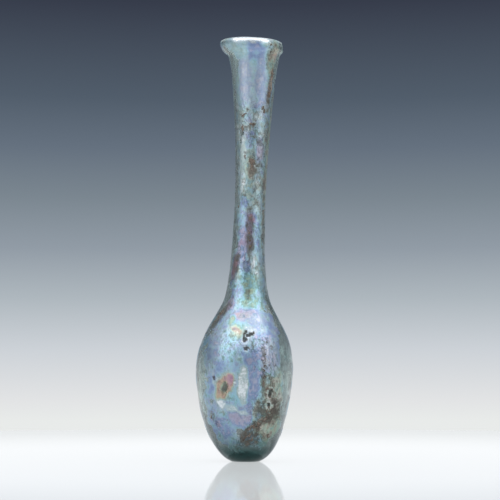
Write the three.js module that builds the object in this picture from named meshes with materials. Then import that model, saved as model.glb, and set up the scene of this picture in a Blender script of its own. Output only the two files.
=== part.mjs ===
// A free-blown glass flask for scented oil: a long slender neck on an egg-shaped body, standing on a small flat foot.
// It is one piece of glass, hollow and open at the mouth, with a thick base, thin walls and a fire-rounded lip.
// The neck leans a little, as the maker left it, and the lip sits off the neck's centre.
// Millimetres, +Z up, origin at the centre of the flat foot. The neck leans towards +X.
import * as THREE from "three";

// Heights above the foot
const HEIGHT = 160;
const BELLY_HEIGHT = 33.8;
const SHOULDER_HEIGHT = 59;
const WAIST_HEIGHT = 103;
// From the top of the lip down to where the neck starts to flare
const FLARE_DEPTH = 5.8;

// Outside widths
const FOOT_WIDTH = 10.4;
const BODY_WIDTH = 36.8;
const SHOULDER_WIDTH = 19.1;
const WAIST_WIDTH = 11.7;
const THROAT_WIDTH = 19.4;
const RIM_WIDTH = 23.8;

// Glass thicknesses
const BASE_THICKNESS = 6;
const BODY_WALL = 1.5;
const NECK_WALL = 1.5;
const LIP_THICKNESS = 2.4;

// How far the foot and the top of the neck stand to one side of the body, and the lip back from the neck
const FOOT_OFFSET = 0.6;
const NECK_LEAN = 3.9;
const RIM_OFFSET = 1.1;
// How far the lip dips on the side that the neck leans to, and rises on the other
const RIM_DIP = 0.4;

// Slopes of the outline from the vertical, in radians, where the body turns into the neck and the neck flares
const SHOULDER_SLOPE = 0.466;
const THROAT_SLOPE = 0.318;

// Faces around the flask, and steps along each stretch of the outline
const SIDES = 40;
const STEPS = { bowl: 13, crown: 8, root: 9, neck: 9, lip: 6, round: 6 };

// Each handle of the outline's curves, as a share of the stretch that it shapes.
const HANDLES = {
  footOut: 0.84,
  footUp: 0.113,
  bowlTop: 0.09,
  crownBottom: 0.472,
  crownTop: 0.38,
  rootBottom: 0.082,
  rootTop: 0.739,
  neckBottom: 0.18,
  neckTop: 0.138,
  lipBottom: 0.415,
  lipTop: 0.79,
};
// The base thins out into the wall by this share of the belly's height, and the body's wall reaches the neck's at the
// shoulder.
const BASE_FADE = 0.6;
// The neck starts to lean at this share of the belly's height, and this share of the lean starts and ends softly.
const LEAN_START = 0.6;
const LEAN_SOFTNESS = 0.6;

const BLUE_GREEN = 0x9fb9b8;

const { smoothstep } = THREE.MathUtils;

// A direction that leans outwards from the vertical by an angle, as (radius, height).
function leaning(angle) {
  return new THREE.Vector2(Math.sin(angle), Math.cos(angle));
}

function along(start, direction, length) {
  return start.clone().addScaledVector(direction, length);
}

// The outside of the glass as five curves, from the foot's edge up to the widest point of the lip.
function outsideCurves() {
  const up = leaning(0);
  const shoulderUp = leaning(-SHOULDER_SLOPE);
  const throatUp = leaning(THROAT_SLOPE);
  const foot = new THREE.Vector2(FOOT_WIDTH / 2, 0);
  const belly = new THREE.Vector2(BODY_WIDTH / 2, BELLY_HEIGHT);
  const shoulder = new THREE.Vector2(SHOULDER_WIDTH / 2, SHOULDER_HEIGHT);
  const waist = new THREE.Vector2(WAIST_WIDTH / 2, WAIST_HEIGHT);
  const throat = new THREE.Vector2(THROAT_WIDTH / 2, HEIGHT - FLARE_DEPTH);
  const lip = new THREE.Vector2(RIM_WIDTH / 2, HEIGHT - LIP_THICKNESS / 2);
  const footHandle = new THREE.Vector2(
    foot.x + HANDLES.footOut * (belly.x - foot.x),
    HANDLES.footUp * belly.y,
  );
  const crown = shoulder.y - belly.y;
  const root = waist.y - shoulder.y;
  const neck = throat.y - waist.y;
  const flare = lip.y - throat.y;
  const curve = (...points) => new THREE.CubicBezierCurve(...points);
  return {
    bowl: curve(foot, footHandle, along(belly, up, -HANDLES.bowlTop * belly.y), belly),
    crown: curve(
      belly,
      along(belly, up, HANDLES.crownBottom * crown),
      along(shoulder, shoulderUp, -HANDLES.crownTop * crown),
      shoulder,
    ),
    root: curve(
      shoulder,
      along(shoulder, shoulderUp, HANDLES.rootBottom * root),
      along(waist, up, -HANDLES.rootTop * root),
      waist,
    ),
    neck: curve(
      waist,
      along(waist, up, HANDLES.neckBottom * neck),
      along(throat, throatUp, -HANDLES.neckTop * neck),
      throat,
    ),
    lip: curve(
      throat,
      along(throat, throatUp, HANDLES.lipBottom * flare),
      along(lip, up, -HANDLES.lipTop * flare),
      lip,
    ),
  };
}

// The glass at a height: thick at the base, then the body's wall, then the neck's.
function wallAt(height) {
  const base = 1 - smoothstep(height, 0, BASE_FADE * BELLY_HEIGHT);
  const neck = smoothstep(height, BELLY_HEIGHT, SHOULDER_HEIGHT);
  return (
    BODY_WALL +
    (BASE_THICKNESS - BODY_WALL) * base +
    (NECK_WALL - BODY_WALL) * neck
  );
}

// A point of the inside, one wall in from the outside and square to it.
function insidePoint(curve, share) {
  const outside = curve.getPoint(share);
  const tangent = curve.getTangent(share);
  const inwards = new THREE.Vector2(-tangent.y, tangent.x);
  return along(outside, inwards, wallAt(outside.y));
}

// The whole outline, from the middle of the foot up the outside, over the lip and down to the middle of the inside.
function outline() {
  const curves = outsideCurves();
  const outside = [new THREE.Vector2(0, 0), curves.bowl.getPoint(0)];
  const inside = [new THREE.Vector2(0, BASE_THICKNESS), insidePoint(curves.bowl, 0)];
  for (const [name, curve] of Object.entries(curves)) {
    for (let step = 1; step <= STEPS[name]; step++) {
      const share = step / STEPS[name];
      outside.push(curve.getPoint(share));
      if (name !== "lip") inside.push(insidePoint(curve, share));
    }
  }
  return [...outside, ...roundedLip(), ...insideFlare(inside.at(-1)), ...inside.reverse()];
}

// The fire-rounded top of the lip: half a circle, without its first point, which the outside already has.
function roundedLip() {
  const radius = LIP_THICKNESS / 2;
  const points = [];
  for (let step = 1; step <= STEPS.round; step++) {
    const angle = (Math.PI * step) / STEPS.round;
    points.push(
      new THREE.Vector2(
        RIM_WIDTH / 2 - radius + radius * Math.cos(angle),
        HEIGHT - radius + radius * Math.sin(angle),
      ),
    );
  }
  return points;
}

// The inside of the mouth, from the lip down to the throat, without its two ends.
function insideFlare(throat) {
  const up = leaning(0);
  const lip = new THREE.Vector2(RIM_WIDTH / 2 - LIP_THICKNESS, HEIGHT - LIP_THICKNESS / 2);
  const flare = lip.y - throat.y;
  const curve = new THREE.CubicBezierCurve(
    lip,
    along(lip, up, -HANDLES.lipBottom * flare),
    along(throat, leaning(THROAT_SLOPE), HANDLES.lipBottom * flare),
    throat,
  );
  return curve.getPoints(STEPS.lip).slice(1, -1);
}

// How far the glass at a height stands to the side of the foot.
function sidewaysAt(height) {
  const start = LEAN_START * BELLY_HEIGHT;
  const throat = HEIGHT - FLARE_DEPTH;
  const share = THREE.MathUtils.clamp((height - start) / (throat - start), 0, 1);
  const lean = THREE.MathUtils.lerp(share, smoothstep(share, 0, 1), LEAN_SOFTNESS);
  return NECK_LEAN * lean - FOOT_OFFSET * smoothstep(height, 0, start) - RIM_OFFSET * nearLip(height);
}

// 0 up to where the neck starts to flare, and 1 at the widest point of the lip.
function nearLip(height) {
  return smoothstep(height, HEIGHT - FLARE_DEPTH, HEIGHT - LIP_THICKNESS / 2);
}

function flaskGeometry() {
  const geometry = new THREE.LatheGeometry(outline(), SIDES);
  geometry.rotateX(Math.PI / 2);
  const position = geometry.getAttribute("position");
  for (let i = 0; i < position.count; i++) {
    const height = position.getZ(i);
    const across = position.getX(i);
    position.setX(i, across + sidewaysAt(height));
    position.setZ(i, height - RIM_DIP * (across / (RIM_WIDTH / 2)) * nearLip(height));
  }
  geometry.computeVertexNormals();
  return geometry;
}

function weatheredGlass() {
  return new THREE.MeshStandardMaterial({
    color: BLUE_GREEN,
    roughness: 0.3,
    metalness: 0,
    transparent: true,
    opacity: 0.7,
  });
}

const flask = new THREE.Mesh(flaskGeometry(), weatheredGlass());
flask.name = "glass_flask";

const unguentarium = new THREE.Group();
unguentarium.add(flask);

export default unguentarium;
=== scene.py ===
import math
from collections import namedtuple
from contextlib import contextmanager

import bpy
import numpy as np
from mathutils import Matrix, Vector, noise


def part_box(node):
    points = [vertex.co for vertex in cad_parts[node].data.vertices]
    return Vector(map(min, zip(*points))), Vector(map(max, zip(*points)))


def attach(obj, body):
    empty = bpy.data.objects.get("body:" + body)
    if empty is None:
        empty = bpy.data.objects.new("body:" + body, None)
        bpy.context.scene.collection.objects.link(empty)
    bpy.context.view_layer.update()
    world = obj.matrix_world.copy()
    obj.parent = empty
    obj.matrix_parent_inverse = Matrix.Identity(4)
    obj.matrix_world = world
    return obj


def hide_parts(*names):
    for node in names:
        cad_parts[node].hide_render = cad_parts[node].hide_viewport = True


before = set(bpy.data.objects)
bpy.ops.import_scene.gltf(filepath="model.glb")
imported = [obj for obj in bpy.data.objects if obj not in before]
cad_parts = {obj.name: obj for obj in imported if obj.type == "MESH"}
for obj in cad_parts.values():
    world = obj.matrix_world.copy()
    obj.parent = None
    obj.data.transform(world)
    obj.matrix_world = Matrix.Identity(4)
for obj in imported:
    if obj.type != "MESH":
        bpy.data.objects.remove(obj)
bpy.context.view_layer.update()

bl_info = {
    "name": "Weathered Glass Unguentarium",
    "version": (1, 0, 0),
    "blender": (4, 5, 0),
    "location": "View3D > Sidebar > Unguentarium",
    "description": "Builds a tall blown-glass scent flask with an iridescent weathered surface",
    "category": "Object",
}

MM = 0.001
FLASK_LOW, FLASK_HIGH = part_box("glass_flask")

# Each handle of the outline's curves, as a share of the stretch that it shapes.
HANDLES = {
    "foot_out": 0.84,
    "foot_up": 0.113,
    "bowl_top": 0.09,
    "crown_bottom": 0.472,
    "crown_top": 0.38,
    "root_bottom": 0.082,
    "root_top": 0.739,
    "neck_bottom": 0.18,
    "neck_top": 0.138,
    "lip_bottom": 0.415,
    "lip_top": 0.79,
}
# The base thins out into the wall by this share of the belly's height, where the lean starts too.
BASE_FADE = 0.6
# This share of the lean starts and ends softly.
LEAN_SOFTNESS = 0.6

# How finely the flask is modelled
SIDES = 180
OUTSIDE_STEP = 0.62 * MM
INSIDE_STEP = 0.85 * MM
LIP_STEPS = 12
# Points closer than this are one, on the flask and in a layer of earth.
DOUBLES = 0.002 * MM
LAYER_DOUBLES = 0.01 * MM

FLASK_PIECE = "weathered_flask"

# Places along the iridescent film's run of colours, from a thin film to a thick one
PINK = 0.04
VIOLET = 0.12
LAVENDER = 0.2
BLUE = 0.28
SKY = 0.38
CYAN = 0.49
TEAL = 0.6
LIME = 0.69
ORANGE = 0.78
ROSE = 0.88

# The film's colours from thin to thick, as light makes them in thin layers
FILM_COLOURS = (
    (PINK, (0.53, 0.35, 0.43)),
    (VIOLET, (0.43, 0.37, 0.54)),
    (LAVENDER, (0.54, 0.54, 0.70)),
    (BLUE, (0.28, 0.37, 0.64)),
    (SKY, (0.42, 0.60, 0.80)),
    (CYAN, (0.39, 0.70, 0.80)),
    (TEAL, (0.28, 0.49, 0.46)),
    (LIME, (0.54, 0.70, 0.53)),
    (ORANGE, (0.70, 0.50, 0.36)),
    (ROSE, (0.62, 0.36, 0.50)),
)

# A patch on the front of the wall. side and height place its centre, and width and tall are its
# size, in millimetres. tilt turns it clockwise, in degrees.
Patch = namedtuple("Patch", "side height width tall tilt")
# tint is a place in the film's colours, and pearl is how silvery the film is. Near 1 the film turns
# near-white, which on the lip and the belly's pale strips is partly a painted highlight.
FilmPatch = namedtuple("FilmPatch", (*Patch._fields, "tint", "pearl"))
# share is how strongly a stain covers the film, or how much is left of a patch of earth.
DirtPatch = namedtuple("DirtPatch", (*Patch._fields, "share"))


def table(kind, *rows):
    """Rows of numbers as patches of one kind."""
    return tuple(kind(*row) for row in rows)


# Some patches are partly a painted highlight: pale silvery strips on the neck and the belly where
# the side softboxes are mirrored, pale pink film on the shoulder under the top softbox, and
# near-white film on the lip's band.
FILM_PATCHES = table(
    FilmPatch,
    # Under the lip: dull blue film without silver, a painted shade under the bead.
    (4, 155, 6.6, 8, 0, BLUE, 0),
    (6.2, 152.1, 3.4, 3.4, 0, SKY, 0.4),
    (10.4, 152, 4.4, 14, 3, 0.72, 0.5),
    (8.6, 118, 4.4, 56, 2, 0.72, 0.55),
    # Partly a painted highlight: a pale strip where the left softbox is mirrored on the neck.
    (-0.4, 144.5, 5, 20, 0, 0.24, 0.6),
    (-2.4, 154.8, 6, 6, 0, 0.54, 0.6),
    # Partly a painted highlight: a pale strip where the right softbox is mirrored on the neck.
    (5.9, 144.5, 4, 19, 0, 0.26, 0.5),
    # Partly a painted highlight, with the row at 111.7 mm: yellow-white strips on the neck where
    # the left softbox is mirrored.
    (-2.9, 126.2, 2.6, 27, 0, 0.66, 0.75),
    (5.5, 117.8, 3.4, 9, 0, LAVENDER, 0.5),
    (-1, 111.7, 3.2, 20, 0, 0.62, 0.8),
    (2, 110.5, 4, 14, 0, 0.71, 0.6),
    (2.4, 123, 3.4, 5, 0, SKY, 0.3),
    (-0.6, 98.4, 3, 4.6, 0, BLUE, 0),
    (-1.2, 91, 3.4, 9, 0, 0.42, 0.45),
    (2.3, 91.8, 4, 3.6, 0, PINK, 0),
    (1.5, 85.5, 2.6, 11, -6, VIOLET, 0),
    (-4.2, 73.5, 3.2, 11, 8, PINK, 0),
    (-0.7, 82, 5, 14, 0, LAVENDER, 0.25),
    (4.5, 84, 2.6, 12, 0, SKY, 0.3),
    (2.9, 74.2, 1.5, 6, 8, CYAN, 0.95),
    (0, 73.6, 3.2, 5, 0, BLUE, 0),
    (0.8, 66.5, 8, 8.5, 0, 0.62, 0),
    (-3.4, 64.5, 5, 8, 8, 0.4, 0.4),
    (-5.4, 59.5, 4, 6, 15, LAVENDER, 0.35),
    (2.1, 60.2, 9, 5.4, 0, 0.585, 0.3),
    # Partly a painted highlight: pale pink film across the shoulder, where the top softbox is
    # mirrored.
    (0.8, 55.4, 10, 3.6, 0, 0.16, 0.4),
    # Partly a painted highlight: near-white film over the lip's band, under the top softbox.
    (2.4, 159.6, 19, 3.6, 0, 0.3, 1),
    # Partly a painted highlight: a narrow pale strip low on the belly.
    (3.7, 19.4, 1.8, 8, 8, 0.66, 0.8),
    # Partly a painted highlight, with the next two rows: silvery and pale pink film on the shoulder
    # under the top softbox.
    (2.6, 49.2, 4.4, 3.4, 30, 0.3, 0.8),
    (-1.8, 54.6, 7, 3, 0, PINK, 0.55),
    (4.2, 53, 7, 5, -20, 0.3, 0.6),
    (-4.8, 53.1, 2.6, 3.4, 0, LIME, 0.35),
    (-3.7, 48.3, 5.4, 6.4, 0, 0.79, 0.5),
    (-10.1, 41.7, 9.9, 15, 0, 0.34, 0.55),
    (-5.9, 41, 7.6, 12, 0, CYAN, 0.45),
    (-8.6, 36, 6, 5, 0, 0.33, 0.3),
    (2.6, 39, 5, 8, 0, 0.27, 0.1),
    (3, 31.5, 4.8, 17, 0, 0.27, 0),
    (-3.8, 24.5, 8, 7.5, 0, 0.47, 0.3),
    (10.6, 25, 10, 28, 0, 0.72, 0.6),
    (9, 13.4, 14, 12, -36, 0.72, 0.5),
    (-2.6, 16.6, 9, 5, 10, LAVENDER, 0.3),
    (-8.8, 12.8, 8, 8.4, -20, BLUE, 0.25),
    (9.8, 40, 8, 13, 0, 0.26, 0.62),
    # Partly a painted highlight: the pale upright strip on the belly, where a softbox is mirrored.
    (-0.9, 29, 4, 14, 2, 0.62, 0.9),
    (-9, 22, 4.5, 2.8, 35, 0.47, 0.86),
    (-5, 20.2, 4.8, 2.2, 5, CYAN, 0.8),
    (-1, 18.7, 5.4, 1.9, 18, 0.44, 0.8),
)

# Film that is more silvery than this is thick and clean, and ends in a sharp broken edge.
# The palest of these patches are partly painted highlights: the lip's band and the belly's pale
# strips.
SHARP_PEARL = 0.79

# A ring of stronger colours on the left of the belly: pink and orange, round a dull hollow
ORANGE_RING = Patch(-7.9, 28.4, 6.6, 11.5, 34)
RING_PINK_SIDE = 0.9

# Where the film has flaked away and the bare glass shows
BARE_PATCHES = table(
    Patch,
    (-2, 11.5, 3, 2.6, 0),
    (-3.6, 108, 2.4, 16, 0),
    (13.8, 39, 2.6, 12, 0),
)

# Brown and grey stains in the film
STAINS = table(
    DirtPatch,
    (10, 28, 10, 30, 0, 0.32),
    (9, 19.5, 15, 12, 10, 0.58),
    (6.9, 34, 2.6, 30, 0, 0.5),
    (9, 27, 6, 12, 0, 0.5),
    (1.8, 9.4, 12, 6, -15, 0.56),
    (5, 15, 17, 3.4, -38, 0.58),
    (-9.8, 54.5, 5, 16, 24, 0.58),
    (4, 44, 15, 8, 0, 0.34),
    (-6, 44, 12, 14, 0, 0.26),
    (-11, 16, 3.6, 8, -25, 0.38),
    (-7.6, 28, 3, 4.6, 22, 0.62),
    (9.2, 141, 3, 20, 4, 0.5),
    (9, 153, 3, 10, 4, 0.42),
    (7.6, 122, 4.5, 22, 2, 0.42),
    (2.6, 125.5, 9, 12, 0, 0.42),
    (3, 110.5, 5.2, 13, 0, 0.48),
    (6.8, 95, 2.6, 50, 0, 0.44),
    (1.6, 86, 3.8, 26, -3, 0.56),
    (-3.6, 74, 4, 15, 8, 0.52),
    (-0.4, 73.6, 3.6, 5, 0, 0.4),
    (1, 64.5, 3, 9, 0, 0.42),
    (5, 112, 4, 40, 0, 0.42),
    (10.4, 156.6, 4, 6, 0, 0.36),
    (-0.6, 100, 3, 26, 0, 0.3),
    (1.2, 75, 7, 12, 0, 0.34),
)

# Black pits and chips, with a pale broken edge
PITS = table(
    Patch,
    (0, 47, 2.2, 5.2, 8),
    (2, 47.8, 3.2, 1.6, -20),
    (0.3, 42.6, 1.6, 1.8, 0),
    (9.2, 25.8, 1.8, 3, 15),
    (8.6, 21.6, 2, 2.2, 0),
    (-11.9, 31.6, 1, 3, 0),
)

# Earth that the glass lay in, as lumps with a thickness of their own
NECK_EARTH = table(
    DirtPatch,
    (9.5, 142.6, 3.2, 12.5, 4, 1.05),
    (9.6, 157.4, 1.5, 1.6, 0, 0.8),
    (9.2, 154.4, 1.5, 2.6, 0, 0.8),
    (8.6, 151, 1.2, 1.8, 0, 0.7),
    (6.9, 133.2, 2.4, 4, 0, 0.8),
    (-0.3, 131.2, 2.4, 1.6, -20, 0.8),
    (2.6, 127.4, 3.8, 1.9, 35, 0.85),
    (-1.1, 125.8, 1.5, 3.6, 0, 0.85),
    (7.6, 127, 2, 5, 0, 0.7),
    (2.7, 113.6, 3.6, 2.2, 20, 0.95),
    (2.4, 111, 2.6, 4, 0, 0.75),
    (-0.2, 115, 1.2, 3.4, 0, 0.75),
    (1.6, 84, 1.6, 12, -8, 0.72),
    (2, 91.8, 2.6, 2.4, 0, 0.6),
    (-3.7, 73, 2.4, 9, 8, 0.66),
    (0.7, 64, 1.5, 5, 0, 0.6),
)
BODY_EARTH = table(
    DirtPatch,
    (-9.6, 55.4, 3, 10, 24, 0.75),
    (7, 39.8, 2.6, 3, 0, 0.7),
    (9.6, 43, 2.2, 2.6, 0, 0.66),
    (6.9, 33, 1.8, 18, 0, 0.7),
    (8.4, 26, 4.4, 9, 0, 0.66),
    (8.9, 19.4, 6, 5, 20, 0.72),
    (5, 14.8, 16, 3, -38, 0.84),
    (0.8, 9.2, 8, 6, -20, 0.66),
    (7, 9.5, 7, 4, -25, 0.6),
    (-12.4, 16.6, 2, 3, 0, 0.66),
)
INSIDE_EARTH = table(
    DirtPatch,
    (11.6, 20.5, 11, 13, 15, 0.95),
    (8, 30.5, 3, 20, 0, 0.7),
    (3, 11, 12, 5, -25, 0.8),
)

# The film holds between these angles on the body, in degrees from the front. On the neck they are
# this much larger.
FILM_LEFT, NECK_LEFT = -58, 10
FILM_RIGHT, NECK_RIGHT = 44, 14
# Patchy film starts over the first pair of angles from the front, and patchy earth over the second.
SIDE_ANGLES = (68, 84)
BACK_ANGLES = (78, 98)
# Above this height the film is smooth and nearly clean.
CALM_FROM = 136 * MM
# Below this height the film thins out over the base.
FILM_FROM = 12.5 * MM

# Sizes of the lumps in the weathering
BROAD_GRAIN = 9 * MM
MIDDLE_GRAIN = 3.4 * MM
FINE_GRAIN = 1.4 * MM

# The relief: waves in the glass outside and inside, the film's thickness, its pits and its crumbs,
# and the depth of a chip
WAVES = 0.07 * MM
INSIDE_WAVES = 0.04 * MM
FILM_THICKNESS = 0.05 * MM
PITTING = 0.1 * MM
CRUMBS = 0.02 * MM
CHIP_DEPTH = 0.2 * MM

# Shades that dirt multiplies the film's and the glass's colours by, and a painted shade that
# darkens the film towards the bottom
GRIME_SHADE = (0.45, 0.45, 0.46)
MOTTLE_SHADE = (0.5, 0.55, 0.6)
STREAK_SHADE = (0.55, 0.53, 0.55)
VEIL_SHADE = (0.8, 0.68, 0.62)
VEIN_SHADE = (0.32, 0.29, 0.28)
# A painted shade, darker towards the bottom where the glass is thick
BOTTOM_PAINTED_SHADE = (0.16, 0.27, 0.25)
# Other colours in the glass, from pale to black
CLOUDY_GLASS = (0.9, 0.97, 0.95)
FLECK_SILVER = (0.78, 0.84, 0.84)
SANDY_STAIN = (0.34, 0.28, 0.23)
DARK_STAIN = (0.08, 0.056, 0.05)
PIT_BLACK = (0.016, 0.014, 0.02)
# Colours in the dried earth, beside its own brown
SAND = (0.33, 0.31, 0.28)
GREY_EARTH = (0.22, 0.195, 0.17)
# A painted shade for the hollows of the earth's bump
HOLLOW_PAINTED_SHADE = (0.018, 0.014, 0.012)

# Names of the attributes that carry the weathering from the mesh to the material
FILM = "film"
TINT = "tint"
PEARL = "pearl"
EARTH = "earth"


def smoothstep(values, low, high):
    share = np.clip((values - low) / (high - low), 0, 1)
    return share * share * (3 - 2 * share)


def leaning(angle):
    """A direction that leans outwards from the vertical by an angle, as (radius, height)."""
    return Vector((math.sin(angle), math.cos(angle)))


def joined(stretch, start, way_out, way_in, end):
    """A curve's four points, from its named handles and the ways that it runs at its two ends."""
    rise = end.y - start.y
    first = start + way_out * HANDLES[f"{stretch}_bottom"] * rise
    second = end - way_in * HANDLES[f"{stretch}_top"] * rise
    return start, first, second, end


def outside_curves(shape):
    """The outside as five curves of four points each, from the foot's edge up to the lip."""
    up = leaning(0)
    shoulder_up = leaning(-shape.shoulder_slope)
    throat_up = leaning(shape.throat_slope)
    foot = Vector((shape.foot_width / 2, 0))
    belly = Vector((shape.body_width / 2, shape.belly_height))
    shoulder = Vector((shape.shoulder_width / 2, shape.shoulder_height))
    waist = Vector((shape.waist_width / 2, shape.waist_height))
    throat = Vector((shape.throat_width / 2, shape.height - shape.flare_depth))
    lip = Vector((shape.rim_width / 2, shape.height - shape.lip_thickness / 2))
    outwards = HANDLES["foot_out"] * (belly.x - foot.x)
    foot_handle = Vector((foot.x + outwards, HANDLES["foot_up"] * belly.y))
    return (
        (foot, foot_handle, belly - up * HANDLES["bowl_top"] * belly.y, belly),
        joined("crown", belly, up, shoulder_up, shoulder),
        joined("root", shoulder, shoulder_up, up, waist),
        joined("neck", waist, up, throat_up, throat),
        joined("lip", throat, throat_up, up, lip),
    )


def on_curve(points, share):
    """A point of a curve and the direction it runs in there."""
    start, first, second, end = points
    left = 1 - share
    place = (
        start * left**3
        + first * 3 * left**2 * share
        + second * 3 * left * share**2
        + end * share**3
    )
    run = (
        (first - start) * left**2
        + (second - first) * 2 * left * share
        + (end - second) * share**2
    )
    return place, run.normalized()


def steps_along(points, step):
    """How many steps of about one length a curve takes."""
    places = [on_curve(points, share / 16)[0] for share in range(17)]
    length = sum((after - before).length for before, after in zip(places, places[1:]))
    return max(3, round(length / step))


def wall_at(height, shape):
    """The glass at a height: thick at the base, then the body's wall, then the neck's."""
    base = 1 - smoothstep(height, 0, BASE_FADE * shape.belly_height)
    neck = smoothstep(height, shape.belly_height, shape.shoulder_height)
    return (
        shape.body_wall
        + (shape.base_thickness - shape.body_wall) * base
        + (shape.neck_wall - shape.body_wall) * neck
    )


def outside_points(shape):
    """The outside from the foot's edge to the lip."""
    points = [outside_curves(shape)[0][0]]
    for curve in outside_curves(shape):
        steps = steps_along(curve, OUTSIDE_STEP)
        points += [on_curve(curve, step / steps)[0] for step in range(1, steps + 1)]
    return points


def inside_points(shape):
    """The inside from its floor up to the throat, one wall in from the outside and square to it."""
    points = []
    for number, curve in enumerate(outside_curves(shape)[:-1]):
        steps = steps_along(curve, INSIDE_STEP)
        for step in range(0 if number == 0 else 1, steps + 1):
            place, run = on_curve(curve, step / steps)
            points.append(place + Vector((-run.y, run.x)) * wall_at(place.y, shape))
    return points


def lip_points(shape):
    """The fire-rounded top of the lip, then the flare inside the mouth, down to the throat."""
    radius = shape.lip_thickness / 2
    middle = Vector((shape.rim_width / 2 - radius, shape.height - radius))
    points = []
    for step in range(1, LIP_STEPS + 1):
        angle = math.pi * step / LIP_STEPS
        points.append(middle + Vector((math.cos(angle), math.sin(angle))) * radius)
    lip = points[-1]
    throat = inside_points(shape)[-1]
    flare = lip.y - throat.y
    curve = (
        lip,
        lip - leaning(0) * HANDLES["lip_bottom"] * flare,
        throat + leaning(shape.throat_slope) * HANDLES["lip_bottom"] * flare,
        throat,
    )
    steps = steps_along(curve, INSIDE_STEP)
    points += [on_curve(curve, step / steps)[0] for step in range(1, steps)]
    return points


def wall_profile(shape, inside):
    """The outer or inner face of the glass as heights and radii, for np.interp."""
    points = inside_points(shape) if inside else outside_points(shape)
    return np.array([point.y for point in points]), np.array([point.x for point in points])


def lean_at(height, shape):
    """How far the glass at a height stands to the side of the foot."""
    start = BASE_FADE * shape.belly_height
    throat = shape.height - shape.flare_depth
    share = np.clip((height - start) / (throat - start), 0, 1)
    lean = share + (smoothstep(share, 0, 1) - share) * LEAN_SOFTNESS
    return (
        shape.neck_lean * lean
        - shape.foot_offset * smoothstep(height, 0, start)
        - shape.rim_offset * near_lip(height, shape)
    )


def near_lip(height, shape):
    """0 up to where the neck starts to flare, and 1 at the widest point of the lip."""
    flare = shape.height - shape.flare_depth
    return smoothstep(height, flare, shape.height - shape.lip_thickness / 2)


def leaned(places, shape):
    """Upright places as the maker left them: the neck to one side, and the lip dipping with it."""
    moved = places.copy()
    dip = shape.rim_dip * (places[:, 0] / (shape.rim_width / 2)) * near_lip(places[:, 2], shape)
    moved[:, 0] += lean_at(places[:, 2], shape)
    moved[:, 2] -= dip
    return moved


def vectors_of(items, field):
    """One vector of each of a mesh's items, as rows of numbers."""
    values = np.zeros(len(items) * 3, np.float32)
    items.foreach_get(field, values)
    return values.reshape(-1, 3).astype(float)


def places_of(mesh):
    return vectors_of(mesh.vertices, "co")


def move_to(mesh, places):
    mesh.vertices.foreach_set("co", places.astype(np.float32).ravel())
    mesh.update()


def keep_attribute(mesh, name, values):
    layer = mesh.attributes.new(name, "FLOAT", "POINT")
    layer.data.foreach_set("value", values.astype(np.float32))


def grain(places, size, octaves, seed):
    """Smooth noise of about -1 to 1 at each place, in lumps of one size, new for each seed."""
    shift = Vector((seed * 3.7, seed * 5.1, seed * 7.3))
    scale = 1 / size
    return np.array(
        [
            noise.fractal(Vector(place) * scale + shift, 1.0, 2.0, octaves)
            if octaves > 1
            else noise.noise(Vector(place) * scale + shift)
            for place in places
        ]
    )


class Wall:
    """Where each point of a mesh is on the flask's wall, so that patches can be laid on it."""

    def __init__(self, places, shape):
        self.profile = wall_profile(shape, inside=False)
        self.shape = shape
        self.height = places[:, 2]
        self.radius = self.radius_at(self.height)
        self.across = places[:, 0] - lean_at(self.height, shape)
        self.angle = np.arctan2(self.across, -places[:, 1])
        self.degrees = np.degrees(self.angle)
        self.wander = grain(places, 2.6 * MM, 2, 1.0)
        self.ripple = grain(places, 1.1 * MM, 2, 2.0)

    def radius_at(self, height):
        return np.interp(height, *self.profile)

    def distance(self, patch):
        """How far each point is from a patch's centre, where its ragged edge is at 1."""
        height = patch.height * MM
        radius = self.radius_at(height)
        across = (patch.side * MM - lean_at(height, self.shape)) / radius
        centre = math.asin(float(np.clip(across, -1, 1)))
        turn = (self.angle - centre + math.pi) % (2 * math.pi) - math.pi
        run = turn * self.radius
        rise = self.height - height
        tilt = math.radians(patch.tilt)
        wide = run * math.cos(tilt) - rise * math.sin(tilt)
        tall = run * math.sin(tilt) + rise * math.cos(tilt)
        half_width = patch.width * MM / 2
        half_height = patch.tall * MM / 2
        smaller = min(half_width, half_height)
        wobble = (self.wander * 0.9 * MM + self.ripple * 0.35 * MM) / (smaller + 1.2 * MM)
        return np.hypot(wide / half_width, tall / half_height) + wobble

    def cover(self, patch, softness):
        """1 inside a patch and 0 outside it, over a soft edge."""
        return 1 - smoothstep(self.distance(patch), 1 - softness, 1 + softness)

    def dirt(self, patches, softness):
        """The share of dirt at each point, from the patch that gives it most."""
        share = np.zeros(len(self.height))
        for patch in patches:
            share = np.maximum(share, patch.share * self.cover(patch, softness))
        return share


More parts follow.
